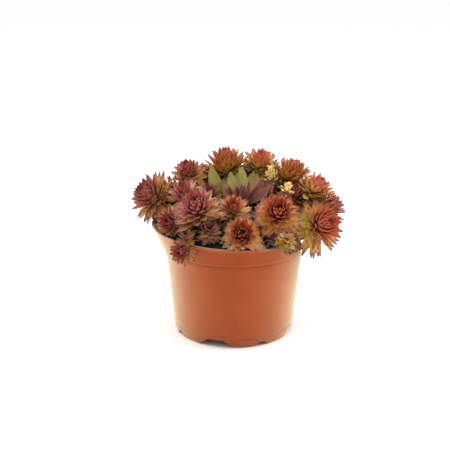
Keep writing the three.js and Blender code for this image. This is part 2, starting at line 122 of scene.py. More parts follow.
def pull_rim(points):
    """Points of the pot as moulded, moved to where the pulled rim takes them."""
    pull = np.clip((points[:, 2] - PULL_FROM) / (POT_HEIGHT - PULL_FROM), 0, 1) ** 1.5
    x = points[:, 0] * (1 + PULL_WIDEN * pull) - PULL_LEFT * pull
    y = points[:, 1] * (1 - PULL_NARROW * pull)
    return np.stack([x, y, points[:, 2] - PULL_TILT * x * pull], axis=1)


def foot_notch(notch, quarter):
    """A wedge that cuts one notch through the foot ring."""
    half_top = FOOT_RADIUS * math.tan(math.radians(notch["top"]))
    half_foot = FOOT_RADIUS * math.tan(math.radians(notch["foot"]))
    size = (0.03, 2 * half_top, 2 * notch["height"])
    bpy.ops.mesh.primitive_cube_add(size=1, scale=size, location=(FOOT_RADIUS, 0, 0))
    wedge = bpy.context.active_object
    bpy.ops.object.transform_apply()
    below = points_of(wedge)
    below[below[:, 2] < 0, 1] *= (2 * half_foot - half_top) / half_top
    move_points(wedge, below)
    wedge.rotation_euler.z = math.radians(notch["first_at"] + quarter)
    bpy.ops.object.transform_apply()
    return wedge


# The shell's rings, by radius and height: round the foot, up the outer wall with the fine line over the foot
# and the groove under the band, over the lip, and down inside to the floor.
inner_wall = [(wall_radius(height) - WALL, height) for height in (BAND_FOOT, 0.068, PULL_FROM, 0.0085)]
pot = turned_shell("growing_pot", [
    (0.0428, FLOOR_UNDERSIDE),
    (FOOT_RADIUS - FOOT_WIDTH, 0.0003),
    (FOOT_RADIUS - FOOT_WIDTH + 0.0003, 0.0),
    (FOOT_RADIUS - 0.0006, 0.0),
    (FOOT_RADIUS, 0.0006),
    (wall_radius(0.0066), 0.0066),
    (wall_radius(0.0068) - 0.0003, 0.0069),
    *[(wall_radius(height), height) for height in (0.0072, 0.03, PULL_FROM, 0.069, 0.0722)],
    (wall_radius(0.0728) - 0.00022, 0.0728),
    (wall_radius(BAND_FOOT) - 0.00018, 0.0733),
    (wall_radius(BAND_FOOT) + 0.75 * BAND_STEP, BAND_FOOT),
    (wall_radius(BAND_FOOT) + BAND_STEP, 0.0738),
    (wall_radius(BAND_FOOT) + BAND_STEP, 0.0745),
    (0.0590, 0.080),
    (RIM_RADIUS - 0.0007, 0.0851),
    (RIM_RADIUS - 0.0002, 0.0854),
    (RIM_RADIUS, 0.0859),
    (RIM_RADIUS, 0.0866),
    (RIM_RADIUS - 0.0004, POT_HEIGHT),
    (RIM_RADIUS - LIP + 0.0004, POT_HEIGHT),
    (RIM_RADIUS - LIP, 0.0865),
    (0.0571, 0.080),
    *inner_wall,
    (wall_radius(0.0082) - WALL - 0.0006, FLOOR_UNDERSIDE + WALL),
], POT_SIDES)

cutters = []
for quarter in (0, 90, 180, 270):
    cutters.append(foot_notch(WIDE_NOTCH, quarter))
    cutters.append(foot_notch(NARROW_NOTCH, quarter))
    angle = math.radians(WIDE_NOTCH["first_at"] + quarter)
    place = (DRAIN_RING * math.cos(angle), DRAIN_RING * math.sin(angle), FLOOR_UNDERSIDE)
    bpy.ops.mesh.primitive_cylinder_add(vertices=DRAIN_SIDES, radius=DRAIN_RADIUS, depth=0.01,
                                        location=place)
    cutters.append(bpy.context.active_object)
notches = joined("notches", cutters)
bpy.ops.object.transform_apply()
pick(pot)
cut = pot.modifiers.new("notches", "BOOLEAN")
cut.operation, cut.solver, cut.object = "DIFFERENCE", "EXACT", notches
bpy.ops.object.modifier_apply(modifier=cut.name)
bpy.data.objects.remove(notches)
# What a point's colour follows: whether it is on the wall's inner side, and how high it was moulded.
moulded = points_of(pot)
in_band = np.clip((moulded[:, 2] - BAND_FOOT) / (POT_HEIGHT - BAND_FOOT), 0, 1)
between_faces = wall_radius(np.minimum(moulded[:, 2], BAND_FOOT)) - 0.0006 + 0.0021 * in_band
inner_side = (np.hypot(moulded[:, 0], moulded[:, 1]) < between_faces) & (moulded[:, 2] > 0.02)
note_on_points(pot, "mould_place", np.stack([inner_side, moulded[:, 2], inner_side], axis=1))
move_points(pot, pull_rim(moulded) + POT_AXIS)
bpy.ops.object.shade_smooth_by_angle(angle=math.radians(28))


def paint(red, green, blue):
    """A colour given as it looks on a screen, from 0 to 255, as the shaders want it."""
    screen = np.array((red, green, blue)) / 255
    light = np.where(screen <= 0.04045, screen / 12.92, ((screen + 0.055) / 1.055) ** 2.4)
    return (*light, 1.0)


def put_node(tree, kind, settings=None, **fed):
    """A shader node with its settings, its inputs set, or linked where another node's output is given."""
    made = tree.nodes.new("ShaderNode" + kind)
    for name, value in (settings or {}).items():
        setattr(made, name, value)
    for name, value in fed.items():
        key = name.replace("_", " ")
        socket = made.inputs[int(key[2:])] if key[2:].isdigit() else made.inputs[key]
        if isinstance(value, bpy.types.NodeSocket):
            tree.links.new(value, socket)
        else:
            socket.default_value = value
    return made


def feed(shader, key, value):
    value.id_data.links.new(value, shader.inputs[key])


def mixed(share, first, second):
    return put_node(share.id_data, "Mix", {"data_type": "RGBA"}, in0=share, in6=first, in7=second).outputs[2]


def reckoned(how, first, second=0.0):
    return put_node(first.id_data, "Math", {"operation": how}, in0=first, in1=second).outputs[0]


def times(first, second):
    return reckoned("MULTIPLY", first, second)


def eased(value, start, end, low=0.0, high=1.0):
    """The low value up to the start and the high one from the end on, with a smooth change between them."""
    return put_node(value.id_data, "MapRange", {"interpolation_type": "SMOOTHSTEP"}, Value=value,
                    From_Min=start, From_Max=end, To_Min=low, To_Max=high).outputs[0]


def read_points(tree, name):
    """The three values that a piece keeps on its points under a name."""
    noted = put_node(tree, "Attribute", {"attribute_name": name}).outputs["Vector"]
    return put_node(tree, "SeparateXYZ", Vector=noted).outputs


def new_material(name, **fed):
    """A material whose shader has the given inputs set, ready for its colour and normal to be linked."""
    material = bpy.data.materials.new(name)
    material.use_nodes = True
    shader = material.node_tree.nodes["Principled BSDF"]
    for key, value in fed.items():
        shader.inputs[key.replace("_", " ")].default_value = value
    return material, material.node_tree, shader


# Uneven patches and a finer grain, which every material here has at its own size.
grain = bpy.data.node_groups.new("patchy_grain", "ShaderNodeTree")
for key, way, kind in (("Size", "INPUT", "Float"), ("Vector", "INPUT", "Vector"),
                       ("Patches", "OUTPUT", "Float"), ("Grain", "OUTPUT", "Float")):
    grain.interface.new_socket(key, in_out=way, socket_type="NodeSocket" + kind)
given = grain.nodes.new("NodeGroupInput").outputs
put_out = grain.nodes.new("NodeGroupOutput").inputs
per_metre = put_node(grain, "Math", {"operation": "DIVIDE"}, in0=1.0, in1=given["Size"]).outputs[0]
for key, scale, detail in (("Patches", per_metre, 3.0), ("Grain", times(per_metre, 7.0), 4.0)):
    uneven = put_node(grain, "TexNoise", Vector=given["Vector"], Scale=scale, Detail=detail)
    grain.links.new(uneven.outputs["Fac"], put_out[key])


def patchy_grain(tree, size):
    """The patches and the finer grain at the size given."""
    place = put_node(tree, "TexCoord").outputs["Object"]
    made = put_node(tree, "Group", {"node_tree": grain}, Size=size, Vector=place).outputs
    return made["Patches"], made["Grain"]


def with_relief(shader, height, depth):
    relief = put_node(height.id_data, "Bump", Strength=1.0, Distance=depth, Height=height)
    feed(shader, "Normal", relief.outputs["Normal"])


# The wall's inner side has a grey-green film from peat and water, painted darker as painted shade inside the
# pot, and the lip's top edge is painted pale as a painted highlight.
pot_plastic, tree, shader = new_material(
    "terracotta_plastic", Roughness=0.44, IOR=1.5, Specular_IOR_Level=0.1,
    Sheen_Weight=1.0, Sheen_Roughness=0.49, Sheen_Tint=paint(240, 249, 206))
patches, fine = patchy_grain(tree, 0.022)
colour = mixed(eased(patches, 0.35, 0.65), paint(155, 58, 0), paint(162, 63, 2))
_, specks = patchy_grain(tree, 0.004)
colour = mixed(eased(specks, 0.70, 0.76, 0.0, 0.5), colour, paint(92, 44, 24))
inner_film_and_shade, height, _ = read_points(tree, "mould_place")
dusty = times(eased(height, 0.016, 0.0), eased(fine, 0.4, 0.7, 0.0, 0.5))
colour = mixed(dusty, colour, paint(150, 98, 72))
# Painted shade: the inner side of the wall is painted dark grey-green, partly a film from peat and water and
# partly the shade inside the pot.
colour = mixed(times(inner_film_and_shade, eased(fine, 0.2, 0.6, 0.7, 1.0)), colour, paint(70, 72, 60))
# Painted highlight: a pale grey band along the top of the lip.
painted_lip_highlight = eased(height, 0.0858, 0.0868, 0.0, 0.5)
feed(shader, "Base Color", mixed(painted_lip_highlight, colour, paint(150, 134, 116)))
place = put_node(tree, "TexCoord").outputs["Object"]
upright = put_node(tree, "Mapping", Vector=place, Scale=(1.0, 1.0, 0.16)).outputs[0]
scuffs = put_node(tree, "TexNoise", Vector=upright, Scale=260.0, Detail=5.0).outputs["Fac"]
feed(shader, "Roughness", eased(scuffs, 0.35, 0.75, 0.38, 0.5))
with_relief(shader, fine, 0.00003)
pot.data.materials.append(pot_plastic)
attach(pot, "root")
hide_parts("pot")


# The peat: dark, moist and crumbly, filled to a little under the rim and heaped towards the middle, with a
# thin green bloom of algae. Crumbs, grains of perlite and straws of bark fibre lie on it.
SOIL_EDGE, SOIL_CROWN, HEAP_LEVEL, HEAP_FOOT = 0.0844, 0.0995, 0.012, 0.052
SOIL_GAP, SOIL_LUMP, SOIL_SIDES, SOIL_RINGS = 0.00035, 0.0009, 150, 62


def soil_height(radius):
    share = np.clip((HEAP_FOOT - radius) / (HEAP_FOOT - HEAP_LEVEL), 0, 1)
    return SOIL_EDGE + (SOIL_CROWN - SOIL_EDGE) * share ** 1.3


def soil_lump(x, y):
    x, y = x * 1000, y * 1000
    return SOIL_LUMP * (np.sin(x * 0.31 + 1.3) * np.cos(y * 0.27) + 0.6 * np.sin(x * 0.57 - y * 0.49))


def soil_surface(x, y):
    """Height of the peat over a spot that is given from the pot's axis."""
    unpulled = (x + PULL_LEFT) / (1 + PULL_WIDEN)
    return soil_height(np.hypot(unpulled, y)) + soil_lump(x, y) - PULL_TILT * x


edge_share = (SOIL_EDGE - BAND_FOOT) / (POT_HEIGHT - BAND_FOOT)
band_inner = wall_radius(BAND_FOOT) - WALL
soil_edge_radius = band_inner + (RIM_RADIUS - LIP - band_inner) * edge_share - SOIL_GAP
soil_bottom = FLOOR_UNDERSIDE + WALL + SOIL_GAP
rings = [(wall_radius(soil_bottom) - WALL - SOIL_GAP - 0.0006, soil_bottom)]
rings += [(wall_radius(z) - WALL - SOIL_GAP, z) for z in (0.0089, PULL_FROM, 0.069, BAND_FOOT)]
rings += [(soil_edge_radius, SOIL_EDGE - 0.0004)]
rings += [(r, float(soil_height(r))) for r in np.linspace(soil_edge_radius - 0.0004, 0.0008, SOIL_RINGS)]
soil = turned_shell("peat", rings, SOIL_SIDES)
points = pull_rim(points_of(soil))
on_top = points_of(soil)[:, 2] >= SOIL_EDGE - 0.0002
points[on_top, 2] += soil_lump(points[on_top, 0], points[on_top, 1])
for i in np.nonzero(on_top)[0]:
    place = Vector(points[i])
    points[i, 2] += 0.0009 * (noise.noise(place * 420) * 0.9 + noise.noise(place * 1100) * 0.55)
move_points(soil, points + POT_AXIS)
pick(soil)
bpy.ops.object.shade_smooth()

peat, tree, shader = new_material("moist_peat", Roughness=0.9)
patches, fine = patchy_grain(tree, 0.004)
colour = mixed(eased(fine, 0.3, 0.7), paint(20, 26, 25), paint(46, 49, 47))
algae = eased(patches, 0.52, 0.68, 0.0, 0.55)
feed(shader, "Base Color", mixed(algae, colour, paint(38, 50, 40)))
feed(shader, "Roughness", eased(fine, 0.2, 0.8, 0.98, 0.72))
with_relief(shader, fine, 0.0006)
soil.data.materials.append(peat)
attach(soil, "root")
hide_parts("soil")

# Every crumb and grain is a squashed and turned copy of one small ball, 1 mm in radius.
CRUMBS, PERLITE_GRAINS, CRUMB_SEED = 620, 18, 11
bpy.ops.mesh.primitive_ico_sphere_add(subdivisions=1, radius=0.001)
crumb_mould = bpy.context.active_object
bpy.ops.object.mode_set(mode="EDIT")
bpy.ops.mesh.poke()
bpy.ops.object.mode_set(mode="OBJECT")
crumb_shape = points_of(crumb_mould)


def copied(mould, points):
    """A copy of a mould with its own mesh, its points moved to where they are given."""
    made = bpy.data.objects.new(mould.name, mould.data.copy())
    bpy.context.collection.objects.link(made)
    move_points(made, points)
    return made


def bent_line(name, path, radius):
    """A thin round line through the given points, as a mesh."""
    bpy.ops.curve.primitive_bezier_curve_add()
    made = bpy.context.active_object
    line = made.data
    line.splines.clear()
    spline = line.splines.new("POLY")
    spline.points.add(len(path) - 1)
    for point, place in zip(spline.points, path):
        point.co = (*place, 1)
    line.dimensions, line.bevel_depth, line.bevel_resolution = "3D", radius, 2
    line.use_fill_caps = True
    pick(made)
    bpy.ops.object.convert(target="MESH")
    made = bpy.context.active_object
    bpy.ops.object.shade_smooth()
    made.name = made.data.name = name
    return made


def on_peat(rng, farthest, nearest=0.0):
    """A spot on the peat, from the pot's axis, at an even density."""
    radius = math.sqrt(rng.uniform((nearest / farthest) ** 2, 1)) * farthest
    angle = rng.uniform(0, 2 * math.pi)
    x = radius * math.cos(angle) * (1 + PULL_WIDEN) - PULL_LEFT
    y = radius * math.sin(angle)
    return np.array((x, y, float(soil_surface(x, y))))


def scattered_crumbs(name, count, seed, smallest, largest):
    rng = random.Random(seed)
    crumbs = []
    for _ in range(count):
        size = rng.uniform(smallest, largest) * 1000 / 2
        turn = Quaternion([rng.gauss(0, 1) for _ in range(4)]).normalized().to_matrix()
        offset = Vector([rng.uniform(0, 9) for _ in range(3)])
        uneven = np.array([1 + 0.5 * noise.noise(Vector(point) * 900 + offset) for point in crumb_shape])
        squat = np.array((1.0, rng.uniform(0.6, 0.95), rng.uniform(0.55, 0.85)))
        spot = on_peat(rng, soil_edge_radius - 0.0012) + (0, 0, 0.25 * size * 0.001)
        turned = (crumb_shape * uneven[:, None] * squat * size) @ np.array(turn).T
        crumbs.append(copied(crumb_mould, turned + spot + POT_AXIS))
    return joined(name, crumbs)


def grainy_material(name, roughness, size, first, second, span=None, patch_relief=0.0, grain_relief=0.0,
                    marks=None):
    """A material in two colours that change from patch to patch, with its patches or its grain in relief,
    and with marks in a third colour."""
    material, tree, shader = new_material(name, Roughness=roughness)
    patches, fine = patchy_grain(tree, size)
    colour = mixed(eased(patches, *span) if span else patches, paint(*first), paint(*second))
    if marks:
        fades, marked = marks
        colour = mixed(eased(fine, *fades), colour, paint(*marked))
    feed(shader, "Base Color", colour)
    if patch_relief:
        with_relief(shader, patches, patch_relief)
    if grain_relief:
        with_relief(shader, fine, grain_relief)
    return material


crumbs = scattered_crumbs("peat_crumbs", CRUMBS, CRUMB_SEED, 0.0008, 0.0030)
crumbs.data.materials.append(peat)
perlite_white = grainy_material("perlite", 0.85, 0.0007, (206, 198, 174), (160, 148, 122),
                                patch_relief=0.0002)
perlite = scattered_crumbs("perlite_grains", PERLITE_GRAINS, CRUMB_SEED + 1, 0.0009, 0.0019)
perlite.data.materials.append(perlite_white)
# A few flat grains lie at the front: each one's place in millimetres and its radius in metres.
LYING_GRAINS = [((-9.9, -40), 0.0023), ((-5.2, -48), 0.0018), ((-10.3, -43.0), 0.0019)]
lying = []
for (x, y), size in LYING_GRAINS:
    spot = np.array((x, y, 0)) * 0.001
    spot[2] = float(soil_surface(spot[0], spot[1])) + 0.6 * size
    lying.append(copied(crumb_mould, crumb_shape * 1000 * size * (1.0, 0.8, 0.6) + spot + POT_AXIS))
lying = joined("lying_grains", lying)
lying.data.materials.append(perlite_white)

# Watering has washed brown crumbs up on the lip at the right and a little way down its outer face, and
# rootlets hang over it there.
WASHED_UP, ROOTLETS, WASHED_FROM, WASHED_TO = 170, 9, -40, -20
rng = random.Random(CRUMB_SEED + 2)
washed_up = []
for _ in range(WASHED_UP):
    angle = math.radians(rng.uniform(WASHED_FROM, WASHED_TO))
    size, drop = rng.uniform(0.0005, 0.0017), max(0.0, rng.uniform(-0.005, 0.009))
    inward = rng.uniform(-0.0004, 0.0026) if drop == 0 else -0.3 * size
    on_lip = np.array([[RIM_RADIUS - inward, 0, POT_HEIGHT + 0.4 * size - drop]])
    on_lip[0, :2] = on_lip[0, 0] * math.cos(angle), on_lip[0, 0] * math.sin(angle)
    spot = pull_rim(on_lip)[0]
    uneven = np.array([1 + rng.uniform(-0.3, 0.3) for _ in crumb_shape])
    washed_up.append(copied(crumb_mould, crumb_shape * 1000 * size * uneven[:, None] + spot + POT_AXIS))
for _ in range(ROOTLETS):
    angle = math.radians(rng.uniform(WASHED_FROM, WASHED_TO))
    hang, sway = rng.uniform(0.002, 0.007), rng.uniform(-0.05, 0.05)
    path = []
    for out, above, turned in ((-0.006, -0.0015, 0), (-0.002, 0.0005, 0), (0.0004, 0.0006, 0.5),
                               (0.0012, -0.001, 0.8), (0.001, -hang, 1)):
        way, radius = angle + sway * turned, RIM_RADIUS + out
        path.append((radius * math.cos(way), radius * math.sin(way), POT_HEIGHT + above))
    place = pull_rim(np.array(path)) + POT_AXIS
    washed_up.append(bent_line("rootlet", place, rng.uniform(0.0002, 0.0004)))
washed_up = joined("washed_up_crumbs", washed_up)
washed_up.data.materials.append(grainy_material(
    "bark_litter", 0.8, 0.0012, (64, 44, 34), (150, 104, 72), (0.4, 0.6), grain_relief=0.0002))
bpy.data.objects.remove(crumb_mould)

# Pale straws of bark fibre lie loosely on the peat, some bunched at the front between two rosettes.
FIBRES, BUNCHED, BUNCH_X, BUNCH_Y, FIBRE_RADIUS = 22, 9, 0.025, -0.043, 0.00016
fibres = []
for k in range(FIBRES):
    if k < BUNCHED:
        spot = BUNCH_X + rng.uniform(-0.005, 0.005), BUNCH_Y + rng.uniform(-0.002, 0.002)
    else:
        spot = on_peat(rng, soil_edge_radius - 0.006, 0.036)
    way, length, bow = rng.uniform(0, math.pi), rng.uniform(0.006, 0.013), rng.uniform(0.001, 0.003)
    if k < BUNCHED:
        way, bow = rng.uniform(-0.5, 0.4), rng.uniform(0.003, 0.009)
    path = []
    for share in np.linspace(-0.5, 0.5, 7):
        x = spot[0] + share * length * math.cos(way)
        y = spot[1] + share * length * math.sin(way)
        path.append((x, y, float(soil_surface(x, y)) + 0.0005 + bow * (1 - 4 * share * share)))
    fibres.append(bent_line("fibre", np.array(path) + POT_AXIS, FIBRE_RADIUS))
fibres = joined("bark_fibres", fibres)
fibres.data.materials.append(grainy_material("bark_fibre", 0.7, 0.002, (196, 182, 148), (136, 118, 88)))
for piece in (crumbs, perlite, lying, washed_up, fibres):
    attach(piece, "root")


# The leaves: water-filled, lance-shaped and pointed, a little dished above and keeled below, with fine hairs
# on the edges. One mould is drawn out from its cut root to its tip, and every leaf is a bent copy of it.
LEAF_SECTION = [(-1.0, 0.10), (0.0, -0.06), (1.0, 0.10), (0.62, -0.30), (0.0, -0.52), (-0.62, -0.30)]
# Each station's way along the leaf, and its half width and thickness there.
LANCE = [(0.0, 0.62, 0.9), (0.12, 0.74, 1.0), (0.28, 0.92, 1.0), (0.44, 1.0, 0.92), (0.58, 0.94, 0.8),
         (0.72, 0.76, 0.66), (0.85, 0.48, 0.5), (0.94, 0.22, 0.28), (1.0, 0.02, 0.03)]
SPOON = [(0.0, 0.55, 0.9), (0.15, 0.68, 0.9), (0.34, 0.93, 0.8), (0.50, 1.0, 0.7), (0.65, 0.90, 0.56),
         (0.79, 0.64, 0.42), (0.90, 0.34, 0.28), (0.96, 0.14, 0.16), (1.0, 0.02, 0.03)]


def leaf_mould(name, stations):
    """A leaf that lies along Y with length 1, drawn out from station to station."""
    bpy.ops.mesh.primitive_circle_add(vertices=len(LEAF_SECTION), radius=1, fill_type="NGON")
    leaf = bpy.context.active_object
    _, width, deep = stations[0]
    move_points(leaf, np.array([(x * width, 0, z * deep) for x, z in LEAF_SECTION]))
    steps = []
    for (along, width, deep), (next_along, next_width, next_deep) in zip(stations, stations[1:]):
        share = (next_width / width, 1, next_deep / deep)
        steps.append(((0, next_along - along, 0), share, (0, next_along, 0)))
    drawn_out(name, steps)
    bpy.ops.object.shade_smooth_by_angle(angle=math.radians(62))
    # Where each point lies on the leaf, for its colours: across, along, and on its upper or lower side.
    x, y, z = points_of(leaf).T
    along, width, deep = np.array(stations).T
    under = z / np.interp(y, along, deep) < -0.2
    note_on_points(leaf, "leaf_place", np.stack([x / np.interp(y, along, width), y, under], axis=1))
    return leaf


lance_leaf = leaf_mould("lance_leaf", LANCE)
spoon_leaf = leaf_mould("spoon_leaf", SPOON)


def leaf_skin(name, heart, inner, outer, oldest, sunny, tip, margin, back, backed=0.4, blush=0.55, rim=0.7,
              tipped=0.95, shaded=0.4):
    """The skin of one rosette's leaves. A leaf's colour follows its age, from the heart outwards, the side
    that it grows on, and the way from its root to its dark tip; its back is duller. Its root is darkened as
    painted shade, and its pale edges are partly its own margin and partly a painted highlight."""
    material, tree, shader = new_material(name, Roughness=0.4, Subsurface_Weight=0.05,
                                          Subsurface_Scale=0.0015, Subsurface_Radius=(1.0, 0.35, 0.15))
    across, along, under = read_points(tree, "leaf_place")
    layer, tone, sun = read_points(tree, "leaf_kind")
    patches, fine = patchy_grain(tree, 0.0032)
    uneven = times(reckoned("SUBTRACT", patches, 0.5), 0.3)
    varied = times(reckoned("SUBTRACT", tone, 0.5), 0.26)
    ramp = put_node(tree, "ValToRGB", Fac=reckoned("ADD", layer, reckoned("ADD", varied, uneven)))
    stops = ramp.color_ramp.elements
    stops[0].position, stops[0].color = 0.03, oldest
    stops[1].position, stops[1].color = 0.68, heart
    for position, shade in ((0.2, outer), (0.34, outer), (0.5, inner)):
        stops.new(position).color = shade
    sunlit = times(sun, eased(patches, 0.3, 0.6, 0.55, 1.0))
    golden = times(eased(tone, 0.6, 0.95, 0.0, 0.5), eased(layer, 0.62, 0.4))
    colour = mixed(reckoned("MAXIMUM", sunlit, golden), ramp.outputs["Color"], sunny)
    colour = mixed(times(under, backed), colour, back)
    # Painted shade: each leaf darkens towards its root, where it sits in the shade of the leaves over it.
    colour = mixed(eased(along, shaded, 0.0, 0.0, 0.6), colour, tip)
    pointed = reckoned("ADD", along, uneven)
    colour = mixed(eased(pointed, 0.35, 0.75, 0.0, blush), colour, inner)
    darkened = times(eased(pointed, 0.66, 0.92, 0.0, tipped), eased(layer, 0.4, 0.75, 1.0, 0.35))
    colour = mixed(darkened, colour, tip)
    streaks = put_node(tree, "CombineXYZ", X=times(across, 5.0), Y=times(along, 1.2), Z=times(tone, 30.0))
    veins = put_node(tree, "TexNoise", Vector=streaks.outputs[0], Scale=1.6, Detail=3.0).outputs["Fac"]
    colour = mixed(eased(veins, 0.45, 0.7, 0.0, 0.4), colour, tip)
    # Painted highlight: the edges of the outer leaves turn pale, partly their own hairy margin and partly a
    # painted highlight where light catches them.
    pale_edge_and_highlight = times(eased(reckoned("ABSOLUTE", across), 0.72, 1.0), eased(along, 1.0, 0.9, 0.3, rim))
    pale_edge_and_highlight = times(pale_edge_and_highlight, eased(layer, 0.5, 0.85, 1.0, 0.35))
    colour = mixed(pale_edge_and_highlight, colour, margin)
    feed(shader, "Base Color", mixed(eased(fine, 0.56, 0.72, 0.0, 0.15), colour, margin))
    feed(shader, "Roughness", eased(fine, 0.3, 0.7, 0.3, 0.5))
    with_relief(shader, veins, 0.00015)
    return material


def palette(**colours):
    return {part: paint(*colour) for part, colour in colours.items()}


PLUM = palette(heart=(172, 69, 80), inner=(181, 88, 69), outer=(200, 131, 54), oldest=(159, 132, 71),
               sunny=(222, 160, 54), tip=(84, 48, 52), margin=(222, 187, 153), back=(138, 96, 52))
EMBER = palette(heart=(181, 64, 37), inner=(199, 98, 41), outer=(203, 141, 44), oldest=(144, 118, 46),
                sunny=(195, 162, 50), tip=(96, 48, 39), margin=(217, 170, 106), back=(152, 100, 41))
ROSE = palette(heart=(200, 97, 107), inner=(200, 116, 94), outer=(186, 127, 74), oldest=(203, 171, 131),
               sunny=(211, 169, 62), tip=(99, 61, 63), margin=(232, 207, 185), back=(163, 123, 86))
AMBER = palette(heart=(164, 57, 60), inner=(215, 111, 68), outer=(199, 149, 50), oldest=(196, 173, 113),
                sunny=(201, 174, 53), tip=(107, 48, 48), margin=(223, 189, 145), back=(167, 116, 53))
GOLD = palette(heart=(212, 88, 84), inner=(223, 126, 84), outer=(226, 190, 72), oldest=(246, 226, 150),
               sunny=(232, 212, 72), tip=(105, 53, 52), margin=(223, 195, 159), back=(172, 126, 63))
TAN = {**AMBER, **palette(heart=(138, 35, 43), inner=(215, 111, 62), outer=(238, 190, 82),
                          sunny=(232, 220, 170))}
OLIVE = palette(heart=(112, 46, 60), inner=(118, 70, 74), outer=(222, 222, 116), oldest=(217, 216, 112),
                sunny=(172, 102, 96), tip=(122, 100, 80), margin=(184, 152, 130), back=(116, 72, 80))
PALE = palette(heart=(150, 76, 36), inner=(176, 118, 46), outer=(180, 150, 62), oldest=(170, 146, 70),
               sunny=(166, 148, 58), tip=(136, 58, 34), margin=(214, 184, 112), back=(156, 116, 54))
DUSK = palette(heart=(128, 54, 54), inner=(184, 110, 86), outer=(206, 156, 112), oldest=(214, 178, 138),
               sunny=(154, 112, 70), tip=(92, 38, 42), margin=(206, 162, 132), back=(104, 60, 47))
LOOKS = dict(
    dusk=DUSK, plum=dict(PLUM, blush=0.4), rose=dict(ROSE, blush=0.4), ember=EMBER,
    amber=dict(AMBER, rim=0.6), tan=dict(TAN, rim=0.45, tipped=0.6), gold=GOLD, pale=dict(PALE, blush=0.2),
    olive=dict(OLIVE, backed=0.5, blush=0.0, rim=0.75, tipped=0.25, shaded=0.95))
skins = {kind: leaf_skin("leaf_skin_" + kind, **look) for kind, look in LOOKS.items()}


# The cushion: 28 rosettes of one old plant, each on its own short stem. A rosette is a spiral of leaves
# round a short crown, the oldest hanging at its foot and the youngest folded over its heart.

# How leaves grow: angles in degrees; lengths, widths and heights as shares of the rosette's reach. What is
# called inner is so at the heart. Leaves may overlap their neighbours by the metres given.
LANCE_HABIT = dict(mould=lance_leaf, lowest=-56, highest=74, steepening=1.35, curl=24, inner_curl=26,
                   length=0.9, inner_length=0.46, shortening=1.2, half_width=0.165, inner_width=0.52,
                   girth=0.24, rise=0.56, dropped=0.10, hang=0.12, overlap=0.003, fuller=1.25, nod=0.0,
                   grown=1.0, slim=1.0, roll=0.0, swerve=0.0, youngest=1.0, lopsided=0.0)
BLADES = dict(mould=spoon_leaf, highest=100, girth=0.1, dropped=0.0, overlap=0.05, hang=0.0)
BROAD = dict(lowest=-28, half_width=0.155, length=0.98, overlap=0.008)
DRY = dict(lowest=-40, highest=84, steepening=0.8, curl=96, inner_curl=110, half_width=0.2,
           inner_length=0.7, rise=1.3, dropped=0.5, girth=0.12)
WITHERED_HABIT = dict(LANCE_HABIT, lowest=-72, half_width=0.12, length=0.8, girth=0.1, dropped=0.0)
